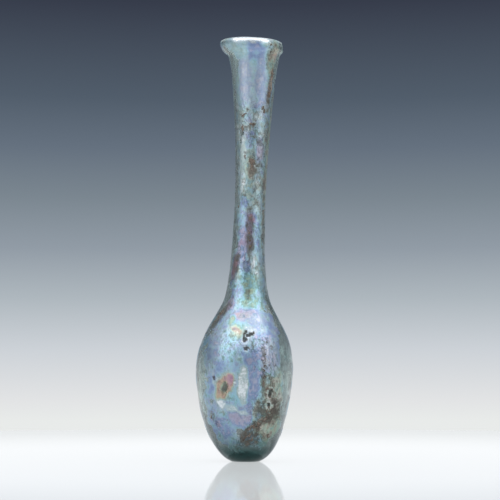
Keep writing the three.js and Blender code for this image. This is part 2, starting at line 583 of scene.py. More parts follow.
class Weathering:
    """How much film each point has, of which colour and how silvery, and how much earth."""

    def __init__(self, mesh, shape):
        self.places = places_of(mesh)
        self.normals = vectors_of(mesh.vertex_normals, "vector")
        self.shape = shape
        self.wall = Wall(self.places, shape)
        self.broad = grain(self.places, BROAD_GRAIN, 3, 3.0)
        self.middle = grain(self.places, MIDDLE_GRAIN, 3, 4.0)
        self.fine = grain(self.places, FINE_GRAIN, 2, 5.0)
        shoulder = shape.shoulder_height
        self.neck = smoothstep(self.wall.height, shoulder - 6 * MM, shoulder + 6 * MM)
        self.calm = smoothstep(self.wall.height, CALM_FROM - 3 * MM, CALM_FROM + 3 * MM)
        self.hold_film()
        self.lay_film_patches()
        self.lay_ring()
        self.wear_film()
        self.lay_earth()
        self.lay_pits()
        self.leave_inside()

    def hold_film(self):
        """Film on the front, thinner towards the sides and in patches on the back."""
        broad, middle, fine, neck = self.broad, self.middle, self.fine, self.neck
        left = FILM_LEFT + NECK_LEFT * neck
        right = FILM_RIGHT + NECK_RIGHT * neck
        ragged = self.wall.degrees + 26 * broad + 8 * middle + 5 * fine
        from_left = smoothstep(ragged, left - 12, left + 8)
        to_right = 1 - smoothstep(ragged, right - 8, right + 14)
        front = from_left * to_right
        sides = smoothstep(np.abs(self.wall.degrees), *SIDE_ANGLES)
        patchy = sides * (0.42 + 0.75 * broad)
        self.film = 0.16 + 0.9 * front + patchy + 0.3 * middle * (1 - 0.6 * front)
        tint = 0.42 + (0.18 + 0.3 * sides) * broad + 0.12 * middle + 0.05 * fine
        self.tint = np.clip(tint + 0.08 * neck - 0.06 * sides, 0.16, 0.62)
        self.rough = 1 - 0.75 * self.calm
        uneven = (0.34 * middle + 0.12 * fine) * self.rough * (1 - 0.3 * neck)
        self.pearl = 0.44 + 0.2 * neck + uneven

    def lay_film_patches(self):
        """Patches of film with their own colour. The most silvery are clean, with a sharp edge."""
        self.clean = np.zeros(len(self.places))
        for patch in FILM_PATCHES:
            sharp = patch.pearl > SHARP_PEARL
            cover = self.wall.cover(patch, 0.2 if sharp else 0.5)
            if sharp:
                self.clean = np.maximum(self.clean, cover)
            tint = patch.tint + 0.07 * self.middle + 0.04 * self.fine
            pearl = patch.pearl + (0.15 * self.middle + 0.1 * self.fine) * self.rough
            self.tint += (tint - self.tint) * cover
            self.pearl += (pearl - self.pearl) * cover
            self.film = np.maximum(self.film, cover * 0.9)

    def lay_ring(self):
        """The ring: orange, pink at its upper right, silvery round it and dull in its hollow."""
        wall = self.wall
        ring = wall.distance(ORANGE_RING)
        band = 1 - smoothstep(np.abs(ring - 0.66), 0.18, 0.56)
        right = smoothstep(wall.angle * wall.radius, -8.2 * MM, -5.4 * MM)
        pink_side = right * smoothstep(wall.height, 26 * MM, 31 * MM)
        tint = ORANGE + (ROSE - ORANGE) * RING_PINK_SIDE * pink_side + 0.02 * self.fine
        self.tint += (tint - self.tint) * band
        outer_edge = smoothstep(ring, 0.8, 1.0) * (1 - smoothstep(ring, 1.05, 1.35))
        self.pearl = self.pearl * (1 - 0.7 * band) + 0.4 * outer_edge
        hollow = 1 - smoothstep(ring, 0.2, 0.5)
        self.tint += (LIME - 0.04 - self.tint) * hollow

    def wear_film(self):
        """No film where it flaked away and hardly any on the base, but more on the lip, whose
        near-white film is partly a painted highlight.
        """
        bare = np.zeros(len(self.places))
        for patch in BARE_PATCHES:
            bare = np.maximum(bare, self.wall.cover(patch, 0.2))
        self.film *= 1 - bare
        self.film -= 1.1 * (1 - smoothstep(self.wall.height + 2 * MM * self.middle, 0, FILM_FROM))
        top = self.shape.height
        self.film += 0.35 * smoothstep(self.wall.height, top - 4.5 * MM, top - 2 * MM)

    def lay_earth(self):
        """Earth in the film: a little all over, more behind, most in stains and under the lumps."""
        behind = smoothstep(np.abs(self.wall.degrees), *BACK_ANGLES)
        earth = 0.1 + 0.15 * self.neck + 0.12 * self.middle + 0.08 * self.fine
        earth *= 1 - 0.8 * self.calm
        earth += 0.6 * behind * np.clip(grain(self.places, 12 * MM, 3, 7.0), 0, 1)
        earth *= 1 - 0.85 * self.clean
        stains = self.wall.dirt(STAINS, 0.5) + 0.08 * self.fine
        under_lumps = 0.6 * self.wall.dirt(NECK_EARTH + BODY_EARTH, 0.6) + 0.1 * self.fine
        self.earth = np.maximum(np.maximum(earth, stains), under_lumps)

    def lay_pits(self):
        """Black pits, and the pale broken edge round each."""
        self.pit_depth = np.zeros(len(self.places))
        for pit in PITS:
            distance = self.wall.distance(pit) + 0.2 * self.fine
            hole = 1 - smoothstep(distance, 0.75, 1.05)
            edge = smoothstep(distance, 0.85, 1.15) * (1 - smoothstep(distance, 1.3, 1.9))
            self.earth = np.maximum(self.earth * (1 - edge), 1.2 * hole)
            self.pearl = np.maximum(self.pearl, 0.78 * edge)
            self.pit_depth = np.maximum(self.pit_depth, hole)

    def leave_inside(self):
        """The inside has a thin even film of its own, and its earth is a piece of its own."""
        self.outside = self.is_outside()
        film = np.where(self.outside, self.film, 0.3 + 0.35 * self.broad)
        self.film = np.clip(film, 0, 1)
        self.earth = np.where(self.outside, self.earth, 0.05)
        self.pearl = np.where(self.outside, self.pearl, 0.2)

    def is_outside(self):
        """Whether each point is on the outer face of the glass."""
        wall, normals, shape = self.wall, self.normals, self.shape
        outwards = wall.across * normals[:, 0] + self.places[:, 1] * normals[:, 1] > 0
        inner_floor = (normals[:, 2] > 0.5) & (wall.height < shape.belly_height)
        under = (normals[:, 2] < -0.7) & (wall.height < shape.base_thickness / 2)
        top = wall.height > shape.height - shape.lip_thickness
        return (outwards & ~inner_floor) | under | top

    def relief(self):
        """How far each point stands out from the smooth glass, which stays flat under the foot."""
        pits = np.clip(grain(self.places, 0.9 * MM, 1, 6.0) - 0.42, 0, 1) * 2
        outside = (
            WAVES * self.broad
            + FILM_THICKNESS * smoothstep(self.film, 0.42, 0.58)
            - PITTING * pits * smoothstep(self.film + self.earth, 0.3, 0.8)
            + CRUMBS * self.fine * self.film
            - CHIP_DEPTH * self.pit_depth
        )
        off_foot = smoothstep(self.wall.height, 0.1 * MM, 1.5 * MM)
        return np.where(self.outside, outside, INSIDE_WAVES * self.broad) * off_foot


def weather(mesh, shape):
    """Gives the mesh its low relief, and keeps the weathering at each point for the material."""
    state = Weathering(mesh, shape)
    move_to(mesh, state.places + state.normals * state.relief()[:, None])
    keep_attribute(mesh, FILM, state.film)
    keep_attribute(mesh, TINT, np.clip(state.tint, 0, 1))
    keep_attribute(mesh, PEARL, np.clip(state.pearl, 0, 1))
    keep_attribute(mesh, EARTH, state.earth)


def deselect_all():
    if bpy.context.object and bpy.context.object.mode != "OBJECT":
        bpy.ops.object.mode_set(mode="OBJECT")
    bpy.ops.object.select_all(action="DESELECT")


def make_active(piece):
    deselect_all()
    piece.select_set(True)
    bpy.context.view_layer.objects.active = piece


@contextmanager
def editing(piece, selection="SELECT"):
    """Edit mode on one piece, with everything selected unless something else is asked for."""
    make_active(piece)
    bpy.ops.object.mode_set(mode="EDIT")
    if selection:
        bpy.ops.mesh.select_all(action=selection)
    yield
    bpy.ops.object.mode_set(mode="OBJECT")


def blown_flask(shape):
    """The flask as a mesh: its outline spun about the upright, then leaned."""
    outline = [
        Vector((0, 0)),
        *outside_points(shape),
        *lip_points(shape),
        *reversed(inside_points(shape)),
        Vector((0, shape.base_thickness)),
    ]
    mesh = bpy.data.meshes.new("flask_outline")
    edges = [(number, number + 1) for number in range(len(outline) - 1)]
    mesh.from_pydata([(point.x, 0, point.y) for point in outline], edges, [])
    flask = bpy.data.objects.new(FLASK_PIECE, mesh)
    bpy.context.scene.collection.objects.link(flask)
    with editing(flask):
        bpy.ops.mesh.spin(steps=SIDES, angle=2 * math.pi, center=(0, 0, 0), axis=(0, 0, 1))
        bpy.ops.mesh.select_all(action="SELECT")
        bpy.ops.mesh.remove_doubles(threshold=DOUBLES)
        bpy.ops.mesh.normals_make_consistent(inside=False)
    move_to(mesh, leaned(places_of(mesh), shape))
    bpy.ops.object.shade_smooth()
    return flask


def keep_only(piece, keep):
    """Deletes every face that has a corner which isn't kept."""
    mesh = piece.data
    with editing(piece, "DESELECT"):
        bpy.ops.mesh.select_mode(type="FACE")
    kept = np.array([all(keep[number] for number in face.vertices) for face in mesh.polygons])
    mesh.polygons.foreach_set("select", ~kept)
    with editing(piece, selection=None):
        bpy.ops.mesh.delete(type="FACE")
        bpy.ops.mesh.select_mode(type="VERT")
        bpy.ops.mesh.select_all(action="SELECT")
        bpy.ops.mesh.delete_loose()


# loose is how much earth lies between the patches. columns and row are how finely it is modelled.
LAYER_FIELDS = "patches loose low high columns row inside thickness"


class EarthLayer(namedtuple("EarthLayer", LAYER_FIELDS)):
    """Earth that clings to the outside or the inside of the wall, from one height to another."""

    def coverage(self, places, shape):
        """How much earth lies at each place. The layer is kept where this is over a half."""
        wall = Wall(places, shape)
        lumps = grain(places, 0.85 * MM, 4, 11.0)
        broad = grain(places, 8 * MM, 2, 12.0)
        away = smoothstep(np.abs(wall.degrees), 70, 100)
        share = (self.loose + 0.2 * away) * np.clip(broad, 0, 1)
        for patch in self.patches:
            cover = 1 - smoothstep(wall.distance(patch), 0.35, 1.35)
            share = np.maximum(share, patch.share * cover)
        return share * 0.82 + 0.5 * lumps

    def rise(self, places, share):
        """How far the layer's top stands off the glass."""
        crumbs = grain(places, 0.6 * MM, 2, 13.0)
        return (0.05 + 0.16 * smoothstep(share, 0.5, 1.0) + 0.07 * crumbs) * MM

    def flat_on_wall(self, mesh, shape):
        """A flat grid's points wrapped round the upright wall, and the wall's normals there."""
        flat = places_of(mesh)
        angle = flat[:, 0] * math.pi
        height = self.low + (flat[:, 1] + 1) / 2 * (self.high - self.low)
        heights, radii = wall_profile(shape, self.inside)
        radius = np.interp(height, heights, radii)
        lean_out = np.arctan(np.interp(height, heights, np.gradient(radii, heights)))
        sideways = np.column_stack([np.sin(angle), -np.cos(angle)])
        places = np.column_stack([sideways * radius[:, None], height])
        normals = np.column_stack([sideways * np.cos(lean_out)[:, None], -np.sin(lean_out)])
        return places, -normals if self.inside else normals


# Where the earth on the neck and on the body meet, then whether a layer is inside and its thickness
NECK_FOOT = 57 * MM
OUTER = (False, 0.3 * MM)
INNER = (True, 0.25 * MM)
EARTH_LAYERS = {
    "earth_on_neck": EarthLayer(NECK_EARTH, 0.6, NECK_FOOT, 158.2 * MM, 200, 0.26 * MM, *OUTER),
    "earth_on_body": EarthLayer(BODY_EARTH, 0.5, 4 * MM, NECK_FOOT, 380, 0.28 * MM, *OUTER),
    "earth_inside": EarthLayer(INSIDE_EARTH, 0.4, 8 * MM, 50 * MM, 260, 0.3 * MM, *INNER),
}


def layer_on_wall(name, shape, layer):
    """A thin ragged layer all round the wall, kept only where there is enough earth."""
    rows = round((layer.high - layer.low) / layer.row)
    deselect_all()
    bpy.ops.mesh.primitive_grid_add(
        x_subdivisions=layer.columns, y_subdivisions=rows, size=2, location=(0, 0, 0)
    )
    piece = bpy.context.object
    piece.name = name
    places, normals = layer.flat_on_wall(piece.data, shape)
    share = layer.coverage(leaned(places, shape), shape)
    rise = layer.rise(leaned(places, shape), share)
    move_to(piece.data, leaned(places + normals * rise[:, None], shape))
    keep_only(piece, share > 0.5)
    with editing(piece):
        bpy.ops.mesh.remove_doubles(threshold=LAYER_DOUBLES)
        if layer.inside:
            bpy.ops.mesh.flip_normals()
    thickness = piece.modifiers.new("thickness", "SOLIDIFY")
    thickness.thickness = layer.thickness
    thickness.offset = -1
    bpy.ops.object.modifier_apply(modifier=thickness.name)
    bpy.ops.object.shade_smooth()
    return piece


class Nodes:
    """Adds nodes to a tree and links them, so that a material reads as a list of steps."""

    def __init__(self, tree):
        self.tree = tree
        tree.nodes.clear()

    def add(self, kind, inputs=(), **settings):
        """A node with its settings, and with its inputs filled by name or number."""
        node = self.tree.nodes.new(kind)
        for name, value in settings.items():
            setattr(node, name, value)
        for name, value in dict(inputs).items():
            self.fill(node.inputs[name], value)
        return node

    def fill(self, socket, value):
        """Links a socket to another node's, or sets its value. A colour comes without its alpha."""
        if isinstance(value, bpy.types.NodeSocket):
            self.tree.links.new(value, socket)
        elif socket.type == "RGBA":
            socket.default_value = (*value, 1)
        else:
            socket.default_value = value

    def object_place(self):
        return self.add("ShaderNodeTexCoord").outputs["Object"]

    def height_of(self, place):
        return self.add("ShaderNodeSeparateXYZ", {"Vector": place}).outputs["Z"]

    def attribute(self, name):
        return self.add("ShaderNodeAttribute", attribute_name=name).outputs["Fac"]

    def noise(self, place, size, detail=2.0, roughness=0.5, distortion=0.0):
        inputs = {"Vector": place, "Scale": 1 / size, "Detail": detail, "Roughness": roughness}
        inputs["Distortion"] = distortion
        return self.add("ShaderNodeTexNoise", inputs).outputs["Fac"]

    def math(self, operation, first, second=0.0, clamp=False):
        inputs = {0: first, 1: second}
        return self.add("ShaderNodeMath", inputs, operation=operation, use_clamp=clamp).outputs[0]

    def plus(self, first, second, clamp=False):
        return self.math("ADD", first, second, clamp)

    def times(self, first, second):
        return self.math("MULTIPLY", first, second)

    def spread(self, value, low, high, to_low=0.0, to_high=1.0, smooth=False):
        """A value's run from low to high, spread over another run and held at its ends."""
        inputs = {"Value": value, "From Min": low, "From Max": high}
        inputs |= {"To Min": to_low, "To Max": to_high}
        kind = "SMOOTHSTEP" if smooth else "LINEAR"
        return self.add("ShaderNodeMapRange", inputs, interpolation_type=kind).outputs["Result"]

    def mix(self, share, first, second, **settings):
        node = self.add("ShaderNodeMix", **settings)
        for name, value in (("Factor", share), ("A", first), ("B", second)):
            self.fill(node.inputs[name], value)
        return node.outputs["Result"]

    def blend(self, share, first, second):
        return self.mix(share, first, second, data_type="RGBA")

    def darken(self, share, colour, shade):
        """Multiplies a colour by a shade, as far as the share says."""
        return self.mix(share, colour, shade, data_type="RGBA", blend_type="MULTIPLY")

    def blend_values(self, share, first, second):
        return self.mix(share, first, second, data_type="FLOAT")

    def ramp(self, share, stops):
        """Colours along a value, from places and colours without alpha."""
        node = self.add("ShaderNodeValToRGB", {"Fac": share})
        elements = node.color_ramp.elements
        while len(elements) > 1:
            elements.remove(elements[-1])
        elements[0].position, elements[0].color = stops[0][0], (*stops[0][1], 1)
        for position, colour in stops[1:]:
            elements.new(position).color = (*colour, 1)
        return node.outputs["Color"]

    def bump(self, height, distance, strength):
        inputs = {"Height": height, "Distance": distance, "Strength": strength}
        return self.add("ShaderNodeBump", inputs).outputs["Normal"]

    def show(self, surface, volume=None):
        """Ends the tree with what the surface and the volume show."""
        inputs = {"Surface": surface}
        if volume:
            inputs["Volume"] = volume
        self.add("ShaderNodeOutputMaterial", inputs)

    def show_both(self, share, first, second):
        """Ends the tree with two surfaces, mixed by a share."""
        both = {"Fac": share, 1: first, 2: second}
        self.show(self.add("ShaderNodeMixShader", both).outputs["Shader"])


def new_material(name):
    material = bpy.data.materials.new(name)
    material.use_nodes = True
    return material


class GlassNodes(Nodes):
    """The weathered glass's patterns, the masks that they break up, and each layer's colours."""

    def __init__(self, tree, finish):
        super().__init__(tree)
        self.finish = finish
        place = self.object_place()
        self.height = self.height_of(place)
        self.speckle = self.noise(place, 0.7 * MM, 3.0, 0.6)
        self.grime = self.noise(place, 0.42 * MM, 3.0, 0.65)
        self.mottle = self.noise(place, 2.2 * MM, 3.0, 0.6)
        self.cloud = self.noise(place, 7 * MM)
        drawn_out = self.add("ShaderNodeMapping", {"Vector": place, "Scale": (1, 1, 0.5)})
        upright = drawn_out.outputs["Vector"]
        self.streaks = self.noise(upright, 1.1 * MM, 4.0, 0.62)
        self.veins = self.noise(upright, 2.4 * MM, 4.0, 0.6, distortion=1.4)

        # Edges of the film and of the stains are broken up by finer grain than the mesh carries.
        broken = self.spread(self.speckle, 0.0, 1.0, -0.3, 0.3)
        self.film = self.spread(self.plus(self.attribute(FILM), broken), 0.38, 0.62, smooth=True)
        self.stain = self.attribute(EARTH)
        fine_grain = self.spread(self.grime, 0.0, 1.0, -0.32, 0.32)
        coarse_grain = self.spread(self.mottle, 0.0, 1.0, -0.38, 0.38)
        stained = self.plus(self.stain, self.plus(fine_grain, coarse_grain))
        self.earth = self.spread(stained, 0.34, 0.66, smooth=True)
        # The film is at its least even where it is dirty.
        self.unrest = self.spread(self.stain, 0.02, 0.14, 0.2, 1.0)
        sparkle = self.spread(self.speckle, 0.3, 0.7, -0.13, 0.13)
        self.pearl = self.plus(self.attribute(PEARL), sparkle, clamp=True)
        # Towards the bottom, where the glass is thick, the glass and the film are darkened by a
        # painted shade.
        self.base = self.spread(self.height, 3 * MM, 15.5 * MM, 1.0, 0.0, smooth=True)

    def tint(self):
        """The place in the film's colours. Only the ring and a few patches reach orange or pink."""
        place = self.attribute(TINT)
        mottled = self.spread(self.mottle, 0.3, 0.7, -0.16, 0.16)
        streaked = self.spread(self.streaks, 0.3, 0.7, -0.1, 0.1)
        steady = self.times(self.unrest, self.spread(place, 0.66, 0.74, 1.0, 0.22))
        tint = self.plus(place, self.times(self.plus(mottled, streaked), steady))
        warmest = self.math("MAXIMUM", self.plus(place, 0.04), 0.65)
        tint = self.math("MINIMUM", tint, warmest, clamp=True)
        thinnest = self.math("MINIMUM", self.math("SUBTRACT", place, 0.04), 0.17)
        return self.math("MAXIMUM", tint, thinnest)

    def film_colour(self):
        """The film's colours: silvery in places and near-white where it is palest, which is partly
        a painted highlight, and darkened over the thick base by a painted shade.
        """
        colour = self.ramp(self.tint(), FILM_COLOURS)
        silver = self.spread(self.pearl, 0.3, 0.8, 0.0, 0.78)
        colour = self.blend(silver, colour, self.finish.pearl_colour)
        # The palest film turns near-white: pale flakes, and partly a painted highlight on the lip
        # and the belly's pale strips.
        colour = self.blend(self.spread(self.pearl, 0.8, 1.0), colour, self.finish.lip_colour)
        # A painted shade darkens the film towards the bottom.
        bottom_shade_share = self.spread(self.height, 3 * MM, 15 * MM, 0.97, 0.0, smooth=True)
        return self.darken(bottom_shade_share, colour, BOTTOM_PAINTED_SHADE)

    def glass_colour(self):
        colour = self.blend(self.cloud, self.finish.glass_colour, CLOUDY_GLASS)
        # The glass turns to the painted dark green towards the bottom.
        return self.blend(self.base, colour, self.finish.base_colour)

    def soiled(self, colour):
        """The colour under grime, mottle and streaks, a brown veil, dark veins and pale flecks."""
        for pattern, high, strength, shade in (
            (self.grime, 0.7, 0.45, GRIME_SHADE),
            (self.mottle, 0.7, 0.55, MOTTLE_SHADE),
            (self.streaks, 0.68, 0.65, STREAK_SHADE),
        ):
            share = self.times(self.spread(pattern, 0.52, high, 0.0, strength), self.unrest)
            colour = self.darken(share, colour, shade)
        veil = self.spread(self.stain, 0.22, 0.54, 0.0, 0.4, smooth=True)
        colour = self.darken(veil, colour, VEIL_SHADE)
        from_vein = self.math("ABSOLUTE", self.math("SUBTRACT", self.veins, 0.5))
        vein = self.spread(from_vein, 0.006, 0.045, 0.85, 0.0, smooth=True)
        vein = self.times(vein, self.spread(self.stain, 0.08, 0.34, 0.12, 1.0))
        colour = self.darken(vein, colour, VEIN_SHADE)
        flecks = self.spread(self.speckle, 0.6, 0.72, 0.0, 0.4, smooth=True)
        return self.blend(self.times(flecks, self.film), colour, FLECK_SILVER)

    def earth_colour(self):
        """Brown in several depths, and black in the pits."""
        browns = ((0.34, DARK_STAIN), (0.5, self.finish.earth_colour), (0.66, SANDY_STAIN))
        in_pits = self.spread(self.stain, 0.8, 1.0)
        black = self.times(in_pits, self.spread(self.grime, 0.4, 0.65, 1.0, 0.55))
        return self.blend(black, self.ramp(self.mottle, browns), PIT_BLACK)

    def metallic(self):
        """Clean film shines like metal, and the thick base a little, in the dark green of its
        painted shade.
        """
        clean = self.math("SUBTRACT", 1.0, self.times(self.earth, 0.9))
        shine = self.spread(self.pearl, 0.0, 1.0, 0.6, 0.92)
        film = self.times(self.times(self.film, shine), clean)
        return self.math("MAXIMUM", film, self.times(self.base, 0.65))

    def roughness(self):
        on_film = self.spread(self.mottle, 0.3, 0.7, 0.34, 0.5)
        return self.blend_values(self.earth, self.blend_values(self.film, 0.08, on_film), 0.75)


def weathered_glass(finish):
    """Blue-green glass, with iridescent film and earth where the mesh says that they hold."""
    material = new_material("weathered_glass")
    nodes = GlassNodes(material.node_tree, finish)
    colour = nodes.soiled(nodes.blend(nodes.film, nodes.glass_colour(), nodes.film_colour()))
    grains = nodes.plus(nodes.speckle, nodes.mottle)
    relief = nodes.times(grains, nodes.plus(nodes.film, nodes.earth))
    surface = nodes.add(
        "ShaderNodeBsdfPrincipled",
        {
            "Base Color": nodes.blend(nodes.times(nodes.earth, 0.8), colour, nodes.earth_colour()),
            "Metallic": nodes.metallic(),
            "Roughness": nodes.roughness(),
            "Normal": nodes.bump(relief, 0.08 * MM, 0.6),
            "IOR": 1.5,
            "Transmission Weight": 0.88,
            "Coat Weight": 0.2,
            "Coat Roughness": 0.08,
        },
    )
    inputs = {"Color": finish.depth_colour, "Density": finish.depth_density}
    depth = nodes.add("ShaderNodeVolumeAbsorption", inputs)
    nodes.show(surface.outputs["BSDF"], depth.outputs["Volume"])
    return material


def dried_earth(finish):
    """Dry earth: brown from dark to greyish, with pale sandy specks and a painted shade, nearly
    black, in the hollows of its bump, and quite matt.
    """
    material = new_material("dried_earth")
    nodes = Nodes(material.node_tree)
    place = nodes.object_place()
    crumbs = nodes.noise(place, 0.5 * MM, 4.0, 0.65)
    lumps = nodes.noise(place, 3 * MM, 3.0, 0.6)
    dark = tuple(0.35 * value for value in finish.earth_colour)
    browns = ((0.32, dark), (0.5, finish.earth_colour), (0.68, GREY_EARTH))
    specks = nodes.spread(crumbs, 0.58, 0.7, 0.0, 0.75, smooth=True)
    colour = nodes.blend(specks, nodes.ramp(lumps, browns), SAND)
    # Nearly black where the crumbs' bump is lowest: painted shade in its hollows.
    pits = nodes.spread(crumbs, 0.3, 0.42, 0.8, 0.0, smooth=True)
    surface = nodes.add(
        "ShaderNodeBsdfPrincipled",
        {
            "Base Color": nodes.blend(pits, colour, HOLLOW_PAINTED_SHADE),
            "Roughness": nodes.spread(crumbs, 0.3, 0.7, 0.95, 0.7),
            "Normal": nodes.bump(crumbs, 0.12 * MM, 0.9),
        },
    )
    nodes.show(surface.outputs["BSDF"])
    return material


# Rectangular soft lights round the flask. Angles are in degrees, with azimuth 0 at the front and
# positive angles to the right. distance, width and height are in metres.
Softbox = namedtuple("Softbox", "name azimuth elevation distance width height brightness")
SOFTBOXES = (
    Softbox("softbox_left", -48, 25, 0.47, 0.37, 0.62, 1.5),
    Softbox("softbox_right", 54, 25, 0.47, 0.3, 0.62, 1.6),
    Softbox("softbox_top", 4, 58, 0.5, 0.54, 0.52, 0.78),
)


def soft_light(box, target):
    """A soft light that faces the target and isn't seen itself."""
    turn = math.radians(box.azimuth)
    rise = math.radians(box.elevation)
    flat = math.cos(rise)
    away = Vector((math.sin(turn) * flat, -math.cos(turn) * flat, math.sin(rise)))
    facing = away.to_track_quat("Z", "Y").to_euler()
    bpy.ops.object.light_add(type="AREA", location=target + away * box.distance, rotation=facing)
    light = bpy.context.object
    light.name = box.name
    light.data.shape = "RECTANGLE"
    light.data.size = box.width
    light.data.size_y = box.height
    light.data.energy = box.brightness * math.pi * box.width * box.height
    light.visible_camera = False
    return light


def keep_off_floor(lights):
    """Lets the lights shine on the flask and its earth only. The floor would mirror them, and its
    painted glow stands in for their light.
    """
    lit = bpy.data.collections.new("lit_by_softboxes")
    for name in (FLASK_PIECE, *EARTH_LAYERS):
        lit.objects.link(bpy.data.objects[name])
    for light in lights:
        light.light_linking.receiver_collection = lit


# Sides of the round floor and backdrop, and the radius within which the floor's painted pool of
# light glows evenly
ROUND_SIDES = 128
GLOW_RADIUS = 0.12


def pale_floor(studio):
    """A round glossy white board with a painted pool of light: it glows brightest under the flask
    and less so towards its edge, in place of the softboxes' light.
    """
    bpy.ops.mesh.primitive_circle_add(
        vertices=ROUND_SIDES, radius=studio.floor_radius, fill_type="NGON", location=(0, 0, 0)
    )
    floor = bpy.context.object
    floor.name = "floor"
    move_to(floor.data, places_of(floor.data) - (0, 0, studio.floor_gap))
    material = new_material("white_gloss_board")
    nodes = Nodes(material.node_tree)
    from_middle = nodes.add("ShaderNodeVectorMath", {0: nodes.object_place()}, operation="LENGTH")
    # A painted pool of light: the board glows brightest under the flask and less towards its edge,
    # in place of the softboxes' light.
    glow = nodes.spread(
        from_middle.outputs["Value"],
        GLOW_RADIUS,
        studio.floor_radius,
        studio.floor_glow,
        studio.edge_glow,
        smooth=True,
    )
    matt = nodes.add(
        "ShaderNodeBsdfPrincipled",
        {
            "Base Color": (0.62, 0.63, 0.64),
            "Roughness": 1.0,
            "Specular IOR Level": 0.0,
            "Emission Color": (0.97, 0.99, 1.0),
            "Emission Strength": glow,
        },
    )
    gloss = nodes.add("ShaderNodeBsdfGlossy", {"Roughness": 0.03})
    nodes.show_both(studio.floor_gloss, matt.outputs["BSDF"], gloss.outputs["BSDF"])
    floor.data.materials.append(material)


# The backdrop's colours by height in millimetres: pale at the floor, slate above
BACKDROP = (
    (-60, (0.82, 0.83, 0.83)),
    (2, (0.81, 0.83, 0.82)),
    (15, (0.76, 0.77, 0.78)),
    (46.7, (0.605, 0.64, 0.68)),
    (78.5, (0.425, 0.475, 0.515)),
    (110, (0.285, 0.33, 0.38)),
    (142, (0.198, 0.24, 0.28)),
    (174, (0.13, 0.165, 0.212)),
    (206, (0.083, 0.11, 0.147)),
    (268, (0.038, 0.046, 0.07)),
    (285, (0.036, 0.043, 0.066)),
)
BACKDROP_LOW = BACKDROP[0][0] * MM
BACKDROP_HIGH = BACKDROP[-1][0] * MM


def graded_backdrop(studio):
    """A round, evenly glowing backdrop, see-through from outside so that it hides nothing."""
    reach = BACKDROP_HIGH - BACKDROP_LOW
    bpy.ops.mesh.primitive_cylinder_add(
        vertices=ROUND_SIDES,
        radius=studio.backdrop_radius,
        depth=reach,
        end_fill_type="NOTHING",
        location=(0, 0, 0),
    )
    backdrop = bpy.context.object
    backdrop.name = "backdrop"
    move_to(backdrop.data, places_of(backdrop.data) + (0, 0, (BACKDROP_HIGH + BACKDROP_LOW) / 2))
    with editing(backdrop):
        bpy.ops.mesh.flip_normals()
    material = new_material("graded_paper")
    nodes = Nodes(material.node_tree)
    share = nodes.spread(nodes.height_of(nodes.object_place()), BACKDROP_LOW, BACKDROP_HIGH)
    stops = [((height * MM - BACKDROP_LOW) / reach, colour) for height, colour in BACKDROP]
    glow = nodes.add("ShaderNodeEmission", {"Color": nodes.ramp(share, stops)})
    clear = nodes.add("ShaderNodeBsdfTransparent")
    from_outside = nodes.add("ShaderNodeNewGeometry").outputs["Backfacing"]
    nodes.show_both(from_outside, glow.outputs["Emission"], clear.outputs["BSDF"])
    backdrop.data.materials.append(material)
    backdrop.visible_shadow = False


def pale_room():
    """The room beyond the backdrop: an even pale ceiling, and pale below."""
    world = bpy.data.worlds.new("pale_room")
    bpy.context.scene.world = world
    world.use_nodes = True
    nodes = Nodes(world.node_tree)
    direction = nodes.add("ShaderNodeTexCoord").outputs["Generated"]
    share = nodes.spread(nodes.height_of(direction), -0.1, 0.4)
    greys = ((0.0, (0.8, 0.82, 0.83)), (0.2, (0.64, 0.67, 0.7)), (0.6, (0.69, 0.72, 0.75)))
    background = nodes.add("ShaderNodeBackground", {"Color": nodes.ramp(share, greys)})
    nodes.add("ShaderNodeOutputWorld", {"Surface": background.outputs["Background"]})


def set_camera(studio):
    """The camera stands low and a little way off, and looks slightly up."""
    place = Vector((studio.aim_side, -studio.camera_distance, studio.camera_height))
    target = Vector((studio.aim_side, 0, studio.aim_height))
    turn = (place - target).to_track_quat("Z", "Y").to_euler()
    bpy.ops.object.camera_add(location=place, rotation=turn)
    camera = bpy.context.object
    camera.name = "camera"
    camera.data.sensor_fit = "HORIZONTAL"
    camera.data.angle = 2 * math.atan(studio.frame_width / 2 / (target - place).length)
    camera.data.clip_start = 0.01
    camera.data.dof.use_dof = False
    bpy.context.scene.camera = camera


def length(label, text, default):
    return bpy.props.FloatProperty(
        name=label, description=text, default=default, unit="LENGTH", precision=4, min=0
    )


def angle(label, text, default):
    return bpy.props.FloatProperty(name=label, description=text, default=default, subtype="ANGLE")


def colour(label, text, default):
    return bpy.props.FloatVectorProperty(
        name=label, description=text, default=default, subtype="COLOR", min=0, max=1, size=3
    )


def amount(label, text, default, **limits):
    return bpy.props.FloatProperty(name=label, description=text, default=default, min=0, **limits)


